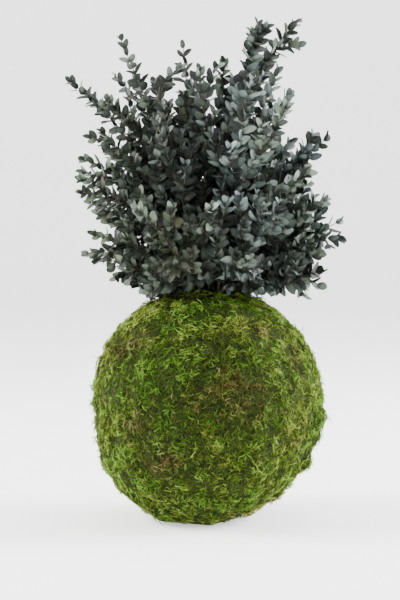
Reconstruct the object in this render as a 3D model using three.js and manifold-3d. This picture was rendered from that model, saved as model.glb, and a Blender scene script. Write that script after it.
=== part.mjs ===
// A kokedama: a ball of soil wrapped in sheet moss, with a bunch of small-leaved eucalyptus sprays
// standing in its crown. Millimetres, +Z up. The origin is on the small flat spot that the ball rests
// on, straight below the middle of the crown, and +X is to the right as the plant is seen from the
// front, along +Y.

import * as THREE from "three";
import { mergeVertices } from "three/addons/utils/BufferGeometryUtils.js";
import Module from "manifold-3d";

const wasm = await Module();
wasm.setup();

// Moss ball
const BALL_RADIUS = 110; // the ball is 220 mm wide
const WAIST_HEIGHT = 113; // where it is widest
const CROWN_RISE = 111; // from the waist to the top
const SAG_DROP = 118; // from the waist to the round bottom, which the flat spot cuts off
const UPPER_FULLNESS = 2.0; // exponent of the upper half's outline, 2 for an ellipse
const LOWER_FULLNESS = 2.2; // the lower half has sagged a little fuller
const TOP_ANGLE = 0.16; // from upright, in radians, of the last ring under the flat top
const LEAST_RISE = 0.6; // of the moss's cushions over the flat spot
const MOSS_THICKNESS = 13;
const MOUTH_RADIUS = 35; // the moss's open edge round the stems
const TUFT_RELIEF = 2.6; // height of the moss's cushions
const BALL_SIDES = 36;
const BALL_RINGS = 22;
const CORE_SIDES = 18;
const CORE_RINGS = 7;
const CROWN_TOP = 219; // the soil's bare crown inside the mouth
const CROWN_EDGE = 212;

// Stems
const STEM_RING = 30; // the outermost stems' distance from the middle, at the crown
const RIM_LEAN = 95; // the lean, in degrees from upright, of the sprays that stand in that ring
const SET_DEPTH = 16; // the straight length of a stem, most of it in the soil
const FOOT_RISE = 1.5; // that straight length ends this far above the soil
const SET_LEAN = 0.12; // its lean there, as a share of the spray's whole lean
const STEM_RADIUS = 1.3;
const STEM_TIP_RADIUS = 0.55;
const TWIG_RADIUS = 0.7;
const TWIG_ANGLE = 0.66; // between a twig and its stem, in radians
const TWIG_RISE = 0.12; // how much further it rises along the stem, as a share of its length
const UPTURN = 0.28; // how far its end turns up to the light, as a share of its length
const STEM_SIDES = 3;
const STEM_STEPS = 4;
const TWIG_STEPS = 2;

// Leaves
const LEAF_LENGTH = 12;
const LEAF_WIDTH = 0.62; // share of the length
const LEAF_THICKNESS = 0.9;
const LEAF_CUP = 0.1; // how far the edges rise, as a share of the length
const ROOT_SINK = 1.3; // how far down the stem a leaf's root reaches inside it
const PAIR_SPACING = 9; // between one pair of leaves and the next
const PAIR_STEP = 5; // one pair of leaves in this many is modelled
const BARE_LENGTH = 36; // of each stem, above the soil
const LEAF_PAST_TIP = 6; // how far the last leaves reach past the stem's end

const CLEARANCE = 0.32; // between pieces that touch
const WELD = 0.004; // points nearer than this after a join or cut become one

const DEGREE = Math.PI / 180;
const UP = new THREE.Vector3(0, 0, 1);
const WAIST = new THREE.Vector3(0, 0, WAIST_HEIGHT);
const CROWN = new THREE.Vector3(0, 0, CROWN_TOP);

// Each spray, by where its last leaf ends: across, deep and up, in mm. bend is how much further its
// last stretch leans than the straight line from the crown to the tip, in degrees. twig says at what
// share of the stem its side twig leaves it, how far the twig is turned out of the upright plane, in
// degrees, and how many mm long it is.
const SPRAYS = [
  // the left of the fan, from the lowest up
  { name: "left_droop", tip: [-57, -46, 217], bend: 38, twig: [0.6, -40, 24] },
  { name: "left_lowest", tip: [-93, -14, 240], bend: 26, twig: [0.55, 60, 26] },
  { name: "left_low", tip: [-120, 16, 253], bend: 12, twig: [0.5, -60, 24] },
  { name: "left_low_front", tip: [-110, -40, 274], bend: 10, twig: [0.55, 30, 32] },
  { name: "left_low_back", tip: [-106, 48, 298], bend: 16, twig: [0.5, 20, 36] },
  { name: "left_mid", tip: [-116, -12, 303], bend: 22, twig: [0.55, -30, 38] },
  { name: "left_mid_front", tip: [-122, -48, 326], bend: 20, twig: [0.6, 50, 34] },
  { name: "left_long", tip: [-123, 14, 344], bend: 26, twig: [0.5, -45, 44] },
  { name: "left_high_front", tip: [-113, -44, 365], bend: 30, twig: [0.55, -35, 40] },
  { name: "left_high_back", tip: [-101, 66, 351], bend: 16, twig: [0.5, -30, 40] },
  { name: "left_far", tip: [-134, 34, 415], bend: 18, twig: [0.62, -18, 50] },
  { name: "left_upper", tip: [-99, -36, 397], bend: 26, twig: [0.6, -30, 42] },
  { name: "left_upper_back", tip: [-93, 58, 422], bend: 24, twig: [0.6, 30, 26] },
  { name: "left_spire", tip: [-83, -22, 461], bend: 3, twig: [0.5, -35, 46] },
  { name: "left_inner", tip: [-51, -52, 418], bend: 4, twig: [0.6, 60, 40] },
  // the middle
  { name: "middle_spire", tip: [-24, 38, 451], bend: 0, twig: [0.62, -60, 52] },
  { name: "middle_front", tip: [-3, -50, 432], bend: 4, twig: [0.6, 80, 40] },
  { name: "middle_back", tip: [15, 62, 436], bend: 3, twig: [0.6, -70, 44] },
  // the right of the fan, from the highest down
  { name: "right_crest", tip: [47, -18, 474], bend: 2, twig: [0.66, -40, 40] },
  { name: "right_spire", tip: [85, 20, 468], bend: 18, twig: [0.7, 40, 42] },
  { name: "right_upper_back", tip: [69, 62, 428], bend: 4, twig: [0.6, -40, 42] },
  { name: "right_upper", tip: [77, -6, 408], bend: 12, twig: [0.6, 50, 34] },
  { name: "right_high_front", tip: [73, -58, 395], bend: 4, twig: [0.55, 30, 42] },
  { name: "right_high_back", tip: [82, 56, 360], bend: 10, twig: [0.5, 30, 42] },
  { name: "right_long", tip: [113, 2, 362], bend: 6, twig: [0.55, -45, 44] },
  { name: "right_mid_front", tip: [99, -44, 325], bend: 14, twig: [0.55, -30, 38] },
  { name: "right_mid_back", tip: [99, 40, 318], bend: 10, twig: [0.5, 45, 40] },
  { name: "right_mid", tip: [112, -12, 306], bend: 4, twig: [0.5, -40, 40] },
  { name: "right_far", tip: [127, 14, 284], bend: 0, twig: [0.55, 35, 40] },
  { name: "right_low_front", tip: [114, -34, 262], bend: 8, twig: [0.5, -60, 34] },
  { name: "right_low_back", tip: [104, 40, 250], bend: 12, twig: [0.5, 50, 34] },
  { name: "right_lowest", tip: [110, -8, 223], bend: 22, twig: [0.5, -50, 30] },
  { name: "right_droop", tip: [91, -36, 222], bend: 42, twig: [0.6, 40, 24] },
  // towards the viewer
  { name: "front_low_left", tip: [-34, -94, 248], bend: 4, twig: [0.5, 40, 32] },
  { name: "front_low_right", tip: [38, -92, 252], bend: 4, twig: [0.5, -40, 32] },
  { name: "front_mid_left", tip: [-66, -88, 300], bend: -4, twig: [0.5, 50, 36] },
  { name: "front_mid", tip: [2, -100, 302], bend: -10, twig: [0.5, -50, 36] },
  { name: "front_mid_right", tip: [66, -86, 304], bend: -4, twig: [0.5, 50, 36] },
  { name: "front_high_left", tip: [-48, -72, 382], bend: -4, twig: [0.55, -40, 40] },
  { name: "front_high_right", tip: [34, -74, 390], bend: -4, twig: [0.55, 40, 40] },
  // away from the viewer
  { name: "back_low_left", tip: [-52, 92, 252], bend: 24, twig: [0.5, -40, 32] },
  { name: "back_low_right", tip: [50, 94, 246], bend: 24, twig: [0.5, 40, 32] },
  { name: "back_mid_left", tip: [-66, 96, 310], bend: 18, twig: [0.5, -50, 38] },
  { name: "back_mid", tip: [0, 110, 294], bend: 20, twig: [0.5, 50, 38] },
  { name: "back_mid_right", tip: [64, 94, 312], bend: 18, twig: [0.5, -50, 38] },
  { name: "back_high_left", tip: [-50, 76, 398], bend: 14, twig: [0.55, 40, 42] },
  { name: "back_high_right", tip: [36, 78, 408], bend: 14, twig: [0.55, -40, 42] },
];

// A number from 0 to 1 that depends only on its two whole arguments.
function draw(row, column) {
  const scattered = Math.sin(row * 12.9898 + column * 78.233) * 43758.5453;
  return scattered - Math.floor(scattered);
}

// Solids

function solidOf(geometry) {
  const bare = geometry.clone();
  bare.deleteAttribute("normal");
  bare.deleteAttribute("uv");
  const merged = mergeVertices(bare, 1e-4);
  return new wasm.Manifold(
    new wasm.Mesh({
      numProp: 3,
      vertProperties: merged.attributes.position.array,
      triVerts: new Uint32Array(merged.index.array),
    }),
  );
}

function geometryOf(solid) {
  const mesh = solid.getMesh();
  const geometry = new THREE.BufferGeometry();
  geometry.setAttribute("position", new THREE.BufferAttribute(mesh.vertProperties, 3));
  geometry.setIndex(new THREE.BufferAttribute(mesh.triVerts, 1));
  geometry.computeVertexNormals();
  return geometry;
}

function fromCorners(corners, faces) {
  const geometry = new THREE.BufferGeometry();
  geometry.setFromPoints(corners);
  geometry.setIndex(faces.flat());
  return geometry;
}

// A closed skin over rings of equal count, each a list of points that runs anticlockwise seen from
// above, from the bottom ring to the top one. Each end is closed by flat facets that start from its
// ring's first point.
function skinOver(rings) {
  const sides = rings[0].length;
  const lastRing = (rings.length - 1) * sides;
  const faces = [];
  for (let i = 1; i < sides - 1; i++) {
    faces.push([0, i + 1, i]);
    faces.push([lastRing, lastRing + i, lastRing + i + 1]);
  }
  for (let ring = 0; ring < rings.length - 1; ring++) {
    for (let i = 0; i < sides; i++) {
      const next = (i + 1) % sides;
      const a = ring * sides + i;
      const b = ring * sides + next;
      faces.push([a, b, b + sides]);
      faces.push([a, b + sides, a + sides]);
    }
  }
  return fromCorners(rings.flat(), faces);
}

// Moss ball and soil

// How far the ball reaches from its middle at a height, without its lumps.
function outlineRadius(height, radius, rise, drop) {
  const above = height > 0;
  const share = Math.min(1, Math.abs(height) / (above ? rise : drop));
  const fullness = above ? UPPER_FULLNESS : LOWER_FULLNESS;
  return radius * (1 - share ** fullness) ** (1 / fullness);
}

// The ball's wide lumps, as a share of its size: it was patted round by hand, and its lower right is a
// little flat.
function lumps(x, y, z) {
  const flatSide = Math.max(0, 0.75 * x - 0.2 * y - 0.63 * z - 0.72);
  return (
    0.012 * Math.sin(3.1 * x + 1.7) * Math.cos(2.6 * z + 0.4) +
    0.012 * Math.sin(3.7 * y - 2.2 * z + 0.9) -
    0.3 * flatSide
  );
}

// One ring of the ball, at an angle from upright. relief is the height of its cushions.
function ballRing({ radius, rise, drop }, angle, sides, relief, row) {
  const height = Math.cos(angle) * (Math.cos(angle) > 0 ? rise : drop);
  const reach = outlineRadius(height, radius, rise, drop);
  return Array.from({ length: sides }, (_, i) => {
    const turn = ((i + (row % 2) / 2) / sides) * 2 * Math.PI;
    const point = new THREE.Vector3(Math.cos(turn) * reach, Math.sin(turn) * reach, height);
    const out = point.clone().divideScalar(radius);
    point.multiplyScalar(1 + lumps(out.x, out.y, out.z));
    point.addScaledVector(out.normalize(), relief * (draw(row, i) - 0.5));
    return point.add(WAIST);
  });
}

// The ball, `inset` smaller all round, with a flat spot below and a flat top.
function ballSolid(inset, sides, rings, relief) {
  const shape = { radius: BALL_RADIUS - inset, rise: CROWN_RISE - inset, drop: SAG_DROP - inset };
  const flatAngle = Math.acos((inset - WAIST_HEIGHT) / shape.drop);
  const made = [];
  for (let row = 0; row <= rings; row++) {
    const angle = flatAngle + (TOP_ANGLE - flatAngle) * (row / rings);
    const ring = ballRing(shape, angle, sides, row === 0 ? 0 : relief, row);
    const least = inset + LEAST_RISE;
    made.push(ring.map((point) => point.setZ(row === 0 ? inset : Math.max(point.z, least))));
  }
  return solidOf(skinOver(made));
}

// A round plug on the ball's axis, from its waist up, whose top follows a profile of [radius, height]
// points.
function plugSolid(profile) {
  const points = [[0, WAIST_HEIGHT], [profile[0][0], WAIST_HEIGHT], ...profile];
  const lathe = new THREE.LatheGeometry(points.map(([x, y]) => new THREE.Vector2(x, y)), CORE_SIDES);
  return solidOf(lathe.rotateX(Math.PI / 2));
}

// The soil: a ball the moss's thickness smaller, with a bare crown that fills the mouth of the moss.
function soilSolid() {
  const crown = [
    [MOUTH_RADIUS - CLEARANCE, CROWN_EDGE],
    [MOUTH_RADIUS * 0.6, CROWN_TOP - 1.5],
    [0, CROWN_TOP],
  ];
  return ballSolid(MOSS_THICKNESS, CORE_SIDES, CORE_RINGS, 0).add(plugSolid(crown));
}

// The moss: a blanket of cushions round the soil, open at the mouth.
function mossSolid() {
  const mouth = [
    [MOUTH_RADIUS, CROWN_TOP + MOSS_THICKNESS],
    [0, CROWN_TOP + MOSS_THICKNESS],
  ];
  return ballSolid(0, BALL_SIDES, BALL_RINGS, TUFT_RELIEF)
    .subtract(ballSolid(MOSS_THICKNESS - CLEARANCE, CORE_SIDES, CORE_RINGS, 0))
    .subtract(plugSolid(mouth));
}

// Stems and twigs

function heading(azimuth, lean) {
  return new THREE.Vector3(
    Math.sin(lean) * Math.cos(azimuth),
    Math.sin(lean) * Math.sin(azimuth),
    Math.cos(lean),
  );
}

// A spray's stem as a path: straight in the soil, then one smooth curve from the crown to the tip.
// Stems that lean far stand near the mouth's edge, and upright ones in the middle.
function stemPath({ tip, bend }) {
  const reach = new THREE.Vector3(...tip).sub(CROWN);
  const azimuth = Math.atan2(reach.y, reach.x);
  const lean = Math.acos(reach.z / reach.length());
  const arriving = heading(azimuth, lean + bend * DEGREE);
  const end = new THREE.Vector3(...tip).addScaledVector(arriving, -LEAF_PAST_TIP);
  const ring = STEM_RING * Math.min(1, lean / (RIM_LEAN * DEGREE)) ** 0.9;
  const foot = new THREE.Vector3(Math.cos(azimuth) * ring, Math.sin(azimuth) * ring, 0);
  foot.z = CROWN_TOP + FOOT_RISE - (CROWN_TOP - CROWN_EDGE) * (ring / MOUTH_RADIUS) ** 2;
  const set = heading(azimuth, lean * SET_LEAN);
  const length = end.distanceTo(foot);
  const rising = foot.clone().addScaledVector(set, length * 0.3);
  const curve = new THREE.CubicBezierCurve3(
    foot,
    rising,
    end.clone().addScaledVector(arriving, -length * 0.35),
    end,
  );
  return { foot, set, curve, length: curve.getLength(), points: stretches(curve, STEM_STEPS) };
}

// A rod through points, of a radius that changes evenly along it. Its sections turn as little as they
// can.
function rod(points, startRadius, endRadius, sides) {
  const lastPoint = points.length - 1;
  let side = null;
  const rings = points.map((point, i) => {
    const ahead = points[Math.min(i + 1, lastPoint)].clone();
    const along = ahead.sub(points[Math.max(i - 1, 0)]).normalize();
    side = (side ?? new THREE.Vector3(1, 0.3, 0).cross(along)).clone();
    side.addScaledVector(along, -side.dot(along)).normalize();
    const across = along.clone().cross(side);
    const radius = startRadius + (endRadius - startRadius) * (i / lastPoint);
    return Array.from({ length: sides }, (_, k) => {
      const turn = (k / sides) * 2 * Math.PI;
      return point
        .clone()
        .addScaledVector(side, Math.cos(turn) * radius)
        .addScaledVector(across, Math.sin(turn) * radius);
    });
  });
  return solidOf(skinOver(rings));
}

// The straight stretches that a curve is built from, and a point on them at a share of the curve's
// length.
function stretches(curve, steps) {
  return Array.from({ length: steps + 1 }, (_, i) => curve.getPointAt(i / steps));
}

function pointOn(points, share) {
  const run = share * (points.length - 1);
  const i = Math.min(Math.floor(run), points.length - 2);
  return points[i].clone().lerp(points[i + 1], run - i);
}

function stemSolid(path) {
  const end = path.foot.clone().addScaledVector(path.set, -SET_DEPTH);
  return rod([end, ...path.points], STEM_RADIUS, STEM_TIP_RADIUS, STEM_SIDES);
}

function holeSolid(path) {
  const points = [
    path.foot.clone().addScaledVector(path.set, -SET_DEPTH - CLEARANCE),
    path.foot.clone().addScaledVector(path.set, SET_DEPTH),
  ];
  const radius = STEM_RADIUS + CLEARANCE / Math.cos(Math.PI / STEM_SIDES);
  return rod(points, radius, radius, STEM_SIDES);
}

// A side twig's path: it leaves the stem at TWIG_ANGLE, straightens a little and turns up to the light.
function twigPath(path, [share, turn, length]) {
  const start = pointOn(path.points, share);
  const along = path.curve.getTangentAt(share);
  const outward = UP.clone().addScaledVector(along, -UP.dot(along)).normalize();
  outward.applyAxisAngle(along, turn * DEGREE);
  const leaving = along.clone().multiplyScalar(Math.cos(TWIG_ANGLE));
  leaving.addScaledVector(outward, Math.sin(TWIG_ANGLE));
  const end = start.clone().addScaledVector(leaving, length);
  end.addScaledVector(along, length * TWIG_RISE).addScaledVector(UP, length * UPTURN);
  const middle = start.clone().addScaledVector(leaving, length * 0.5);
  const curve = new THREE.QuadraticBezierCurve3(start, middle, end);
  return { curve, length: curve.getLength(), points: stretches(curve, TWIG_STEPS) };
}

function twigSolid(path) {
  return rod(path.points, TWIG_RADIUS, STEM_TIP_RADIUS, STEM_SIDES);
}

// Leaves

// One oval blade along `along`, its upper face towards `face`: a shallow spoon with raised edges and a
// keel below. Its root is a single corner, which is sunk in the stem.
function leafSolid(root, along, face, length) {
  const across = face.clone().cross(along).normalize();
  const up = along.clone().cross(across);
  const at = (run, wide, high) =>
    root
      .clone()
      .addScaledVector(along, run * length)
      .addScaledVector(across, (wide * LEAF_WIDTH * length) / 2)
      .addScaledVector(up, high);
  const rise = LEAF_CUP * length;
  const corners = [
    at(0, 0, 0),
    at(0.3, 0.92, rise),
    at(0.7, 0.86, rise),
    at(1, 0, 0),
    at(0.7, -0.86, rise),
    at(0.3, -0.92, rise),
    at(0.36, 0, -LEAF_THICKNESS),
  ];
  const upperFace = [
    [0, 5, 1],
    [1, 5, 4],
    [1, 4, 2],
    [2, 4, 3],
  ];
  const lowerFace = [0, 1, 2, 3, 4, 5].map((edge) => [6, edge, (edge + 1) % 6]);
  return solidOf(fromCorners(corners, [...upperFace, ...lowerFace]));
}

// The places of the leaves along a stem or twig, in opposite pairs counted from the tip down to its bare
// length. Each pair is turned a quarter from the next, and the youngest are smaller and less open.
function leafPlaces(path, bare, seed) {
  const places = [];
  for (let pair = 0; path.length - pair * PAIR_SPACING > bare; pair++) {
    const share = 1 - (pair * PAIR_SPACING) / path.length;
    const along = path.curve.getTangentAt(share);
    const root = pointOn(path.points, share).addScaledVector(along, -ROOT_SINK);
    const age = Math.min(1, (pair + 1.2) / 5);
    const opening = (24 + 28 * age + 12 * (draw(seed, pair) - 0.5)) * DEGREE;
    const start = new THREE.Vector3(0.31, 0.17, 1).cross(along).normalize();
    for (const side of [0, 1]) {
      const turn = pair * 90 + side * 180 + 34 * (draw(seed + 7, pair * 2 + side) - 0.5);
      const outward = start.clone().applyAxisAngle(along, turn * DEGREE);
      const hinge = along.clone().cross(outward).normalize();
      const run = along.clone().applyAxisAngle(hinge, opening);
      const face = run.clone().cross(hinge);
      const size = LEAF_LENGTH * (0.5 + 0.5 * age) * (0.86 + 0.28 * draw(seed + 3, pair * 2 + side));
      places.push({ pair, root, run, face, size });
    }
  }
  return places;
}

const stems = SPRAYS.map((spray) => {
  const path = stemPath(spray);
  const twig = twigPath(path, spray.twig);
  return { name: spray.name, path, twig, solid: stemSolid(path).add(twigSolid(twig)), leaves: [] };
});
const soil = soilSolid();
const moss = mossSolid();
const drilledSoil = stems.reduce((drilled, stem) => drilled.subtract(holeSolid(stem.path)), soil);

function boxesMeet(a, b, margin) {
  return [0, 1, 2].every((k) => a.min[k] - margin < b.max[k] && b.min[k] - margin < a.max[k]);
}

// Whether a leaf keeps clear of the ball, of every other spray, and of the other pairs of leaves on its
// own.
function isClear(leaf, own, pairKey) {
  const box = leaf.boundingBox();
  const near = (other) => boxesMeet(box, other.boundingBox(), CLEARANCE);
  const hits = (other) => near(other) && leaf.minGap(other, CLEARANCE) < CLEARANCE;
  if (hits(moss) || hits(soil)) return false;
  return stems.every(
    (stem) =>
      (stem === own || !hits(stem.solid)) &&
      stem.leaves.every((other) => other.pairKey === pairKey || !hits(other.solid)),
  );
}

// Adds one pair of leaves in PAIR_STEP along a path, from the tip down. A leaf that would cross
// another spray is turned and opened a little, and left out if that isn't enough.
function addLeaves(stem, path, bare, seed) {
  for (const place of leafPlaces(path, bare, seed)) {
    if (place.pair % PAIR_STEP !== 0) continue;
    const pairKey = seed * 100 + place.pair;
    for (const turn of [0, 25, -25, 50, -50]) {
      const axis = place.face.clone().cross(place.run);
      const run = place.run.clone().applyAxisAngle(axis, (turn * DEGREE) / 3);
      const face = place.face.clone().applyAxisAngle(axis, (turn * DEGREE) / 3);
      const solid = leafSolid(place.root, run, face.applyAxisAngle(run, turn * DEGREE), place.size);
      if (isClear(solid, stem, pairKey)) {
        stem.leaves.push({ solid, pairKey });
        break;
      }
    }
  }
}

stems.forEach((stem, i) => {
  addLeaves(stem, stem.path, BARE_LENGTH, 10 * i + 1);
  addLeaves(stem, stem.twig, PAIR_SPACING, 10 * i + 6);
});

// The scene graph

const MOSS = new THREE.MeshStandardMaterial({ color: 0x66801f, roughness: 0.95, metalness: 0 });
const SOIL = new THREE.MeshStandardMaterial({ color: 0x3a2b1d, roughness: 1, metalness: 0 });
const LEAF = new THREE.MeshStandardMaterial({ color: 0x44544e, roughness: 0.6, metalness: 0 });

const kokedama = new THREE.Group();

function addPiece(name, solid, material) {
  const mesh = new THREE.Mesh(geometryOf(solid.simplify(WELD)), material);
  mesh.name = name;
  kokedama.add(mesh);
}

addPiece("moss_wrap", moss, MOSS);
addPiece("soil_core", drilledSoil, SOIL);
for (const stem of stems) {
  const grown = [stem.solid, ...stem.leaves.map((leaf) => leaf.solid)];
  addPiece(`spray_${stem.name}`, wasm.Manifold.union(grown), LEAF);
}

export default kokedama;
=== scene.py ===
import math

import bpy
import numpy as np
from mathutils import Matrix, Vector


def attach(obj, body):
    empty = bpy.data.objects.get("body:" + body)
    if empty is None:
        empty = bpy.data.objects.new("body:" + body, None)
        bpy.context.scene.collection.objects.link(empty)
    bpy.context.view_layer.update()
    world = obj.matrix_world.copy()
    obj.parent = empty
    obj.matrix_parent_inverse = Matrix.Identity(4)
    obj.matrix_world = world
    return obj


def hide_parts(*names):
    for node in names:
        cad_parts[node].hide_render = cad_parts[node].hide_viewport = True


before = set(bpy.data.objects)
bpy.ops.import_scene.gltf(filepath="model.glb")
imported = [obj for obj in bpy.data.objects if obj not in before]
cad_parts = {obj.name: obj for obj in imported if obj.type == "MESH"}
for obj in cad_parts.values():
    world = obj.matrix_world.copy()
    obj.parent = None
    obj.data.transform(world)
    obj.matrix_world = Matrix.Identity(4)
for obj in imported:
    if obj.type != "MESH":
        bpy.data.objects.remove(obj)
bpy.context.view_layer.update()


# Soil
# The ball of root soil that gives the kokedama its shape: dark peat and clay, pressed by hand round the
# stems. Only its bare crown shows, in the mouth of the moss, so the CAD solid stays and gets its finish.

# Lighter in each crumb's middle, darker towards its edge: painted shade in the cracks between crumbs
SOIL_AND_CRACK_SHADE_COLORS = [(0.1, 0.085, 0.058, 0.036), (0.7, 0.020, 0.013, 0.008)]  # from a crumb's middle to its edge
CRUMBS = 420  # per metre
CRUMB_DEPTH = 0.0015
CLODS = 90  # per metre, of lighter and darker soil


def feed(tree, socket, value):
    """Gives an input socket a number or a colour, or links another socket to it."""
    if isinstance(value, bpy.types.NodeSocket):
        tree.links.new(value, socket)
    else:
        socket.default_value = value


def node(tree, kind, values=(), **settings):
    """A new node of a kind, with its settings and with what its inputs get, by name or number."""
    made = tree.nodes.new(f"ShaderNode{kind}")
    for name, setting in settings.items():
        setattr(made, name, setting)
    for name, value in dict(values).items():
        feed(tree, made.inputs[name], value)
    return made


def worked(tree, operation, *values):
    """A Math node's result, from numbers and sockets."""
    return node(tree, "Math", enumerate(values), operation=operation).outputs[0]


def textured(tree, kind, **values):
    """The outputs of a texture over the object's own coordinates."""
    place = node(tree, "TexCoord").outputs["Object"]
    return node(tree, f"Tex{kind}", {"Vector": place, **values}).outputs


def mottle_group():
    """A shader group that varies a colour: two noises of Scale and five times Scale, blended, brighten or
    darken Color by up to Amount, and come out as Height too."""
    group = bpy.data.node_groups.new("mottle", "ShaderNodeTree")
    inputs = {"Color": "Color", "Scale": "Float", "Amount": "Float"}
    outputs = {"Color": "Color", "Height": "Float"}
    for way, sockets in (("INPUT", inputs), ("OUTPUT", outputs)):
        for name, kind in sockets.items():
            group.interface.new_socket(name, in_out=way, socket_type=f"NodeSocket{kind}")
    given = group.nodes.new("NodeGroupInput").outputs
    out = group.nodes.new("NodeGroupOutput").inputs
    scales = given["Scale"], worked(group, "MULTIPLY", given["Scale"], 5)
    noises = (textured(group, "Noise", Scale=scale, Detail=4)["Fac"] for scale in scales)
    blend = worked(group, "ADD", *noises)
    swing = worked(group, "SUBTRACT", blend, 1)
    amount = worked(group, "MULTIPLY_ADD", swing, given["Amount"], 1)
    tinted = node(group, "VectorMath", {0: given["Color"], "Scale": amount}, operation="SCALE")
    feed(group, out["Color"], tinted.outputs[0])
    feed(group, out["Height"], blend)
    return group


MOTTLE = mottle_group()


def material(name, roughness):
    """A new material, its node tree and the inputs of its Principled shader."""
    made = bpy.data.materials.new(name)
    made.use_nodes = True
    shader = made.node_tree.nodes["Principled BSDF"].inputs
    shader["Roughness"].default_value = roughness
    return made, made.node_tree, shader


def mottled(tree, color, scale, amount):
    """A mottle group on a colour, given as four numbers or a socket; its Color and Height outputs."""
    values = {"Color": color, "Scale": scale, "Amount": amount}
    return node(tree, "Group", values, node_tree=MOTTLE).outputs


def bumped(tree, height, distance, shader):
    """Feeds a height to the shader's Normal as a bump of `distance` metres."""
    bump = node(tree, "Bump", {"Distance": distance, "Height": height})
    feed(tree, shader["Normal"], bump.outputs["Normal"])


def ramp(tree, factor, stops):
    """A colour ramp over a factor socket, from stops of a position, red, green and blue."""
    made = node(tree, "ValToRGB", {"Fac": factor})
    elements = made.color_ramp.elements
    while len(elements) < len(stops):
        elements.new(0.5)
    for element, (position, *color) in zip(elements, stops):
        element.position = position
        element.color = (*color, 1)
    return made.outputs["Color"]


soil_finish, tree, shader = material("root_soil", 0.95)
crumbs = textured(tree, "Voronoi", Scale=CRUMBS)["Distance"]
# Painted shade: each crumb darkens towards its edge, in the cracks
soil_and_crack_shade = ramp(tree, crumbs, SOIL_AND_CRACK_SHADE_COLORS)
feed(tree, shader["Base Color"], mottled(tree, soil_and_crack_shade, CLODS, 0.8)["Color"])
bumped(tree, crumbs, -CRUMB_DEPTH, shader)
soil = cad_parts["soil_core"]
soil.data.materials.clear()
soil.data.materials.append(soil_finish)


# Moss blanket
# Sheet moss laid moss side out round the soil, about 13 mm thick, and open at the top where it is
# gathered round the stems. This is its matted body of old brown-green growth, whose cushions and
# hollows show between the living shoots.

BALL_RADIUS = 0.110
WAIST_HEIGHT = 0.113
CROWN_RISE = 0.111  # from the waist to the top
SAG_DROP = 0.118  # from the waist to the round bottom, which the flat spot cuts off
UPPER_FULLNESS = 2.0
LOWER_FULLNESS = 2.2
BALL_LEAN = -0.018  # how far it leans to the right, as a share of the height over its waist
SWELL = 0.012  # of its two slow waves, as a share of its size
FLAT_SIDE = 0.25
FLAT_SHOULDER = 0.05
FLAT_BROW = 0.42
FULL_CHEEK = 0.065
MOSS_THICKNESS = 0.013
SOIL_GAP = 0.0003  # between the blanket and the soil
MOUTH_RADIUS = 0.035
MOUTH_LIPS = 0.02, 0.05  # how far below the mouth, in radians, the outside and the inside end
SHOOTS_STAND = 0.0017  # how far the shoots stand out of the blanket
CUSHION_HEIGHT = 0.0024
CUSHION_WIDTHS = 0.034, 0.015
CUSHION_WAVES = 26
BLANKET_SIDES = 160
BLANKET_OUTER_ROWS = 78
BLANKET_INNER_ROWS = 10
MAT_COLORS = [(0.40, 0.003, 0.005, 0.001), (0.52, 0.014, 0.022, 0.002), (0.64, 0.050, 0.072, 0.006)]
# Tufts that stand out of the ball: where they are, how far they stand out and how wide they are
TUFTS = [
    ((0.109, -0.020, 0.095), 0.0120, 0.015),
    ((0.104, -0.020, 0.078), 0.0090, 0.009),
    ((0.099, -0.020, 0.067), -0.0030, 0.006),
    ((0.093, -0.020, 0.055), 0.0140, 0.010),
    ((0.080, -0.020, 0.038), 0.0040, 0.014),
    ((0.066, -0.020, 0.022), 0.0060, 0.008),
]


def unit(vectors):
    """Vectors divided by their own lengths, along the last axis."""
    return vectors / np.linalg.norm(vectors, axis=-1, keepdims=True)


def square_to(axes, vectors):
    """Unit vectors at right angles to unit axes: the vectors less their parts along the axes."""
    return unit(vectors - axes * (vectors * axes).sum(-1, keepdims=True))


def polar(reach, turn, height):
    """Points at a distance from the upright axis, a turn round it and a height."""
    return np.stack(np.broadcast_arrays(reach * np.cos(turn), reach * np.sin(turn), height), -1)


def near(points, place, width):
    """1 at a place, falling to nothing over a few widths: exp(-(gap / width)^2)."""
    return np.exp(-((np.linalg.norm(points - place, axis=-1) / width) ** 2))


def wave_field(points, seed, wavelength, waves):
    """A smooth random height from -1 to 1 or so at points: the sum of `waves` sine waves whose
    directions and phases are drawn at random, and whose lengths lie round `wavelength`."""
    rng = np.random.default_rng(seed)
    direction = unit(rng.normal(size=(waves, 3)))
    length = wavelength * rng.uniform(0.7, 1.6, size=(waves, 1))
    phase = rng.uniform(0, 2 * math.pi, size=waves)
    waved = np.sin(points @ (direction * 2 * math.pi / length).T + phase)
    return waved.sum(-1) * math.sqrt(1 / waves)


def ball_reach(height, radius, rise, drop):
    """How far the ball reaches from its middle at a height over its waist: radius times
    (1 - (height / rise)^n)^(1/n), with its own rise and n above the waist and below it."""
    above = height > 0
    share = np.clip(np.abs(height) / np.where(above, rise, drop), 0, 1)
    fullness = np.where(above, UPPER_FULLNESS, LOWER_FULLNESS)
    return radius * (1 - share**fullness) ** (1 / fullness)


def lumps(x, y, z):
    """The ball's wide lumps, as a share of its size, at a place in its own radii: two slow waves, less a
    flat at the lower right, one at the right shoulder and one at the left, which each deepen evenly from
    a line across the skin, and a fuller cheek at the lower left."""
    flat_side = np.maximum(0, 0.75 * x - 0.2 * y - 0.63 * z - 0.72)
    flat_shoulder = np.maximum(0, 0.6 * x + 0.8 * z - 0.65)
    flat_brow = np.maximum(0, 0.81 * z - 0.59 * x - 0.95)
    full_cheek = np.maximum(0, -0.55 * x - 0.84 * z - 0.68)
    return (
        SWELL * np.sin(3.1 * x + 1.7) * np.cos(2.6 * z + 0.4)
        + SWELL * np.sin(3.7 * y - 2.2 * z + 0.9)
        - FLAT_SIDE * flat_side
        - FLAT_SHOULDER * flat_shoulder
        - FLAT_BROW * flat_brow
        + FULL_CHEEK * full_cheek
    )


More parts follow.
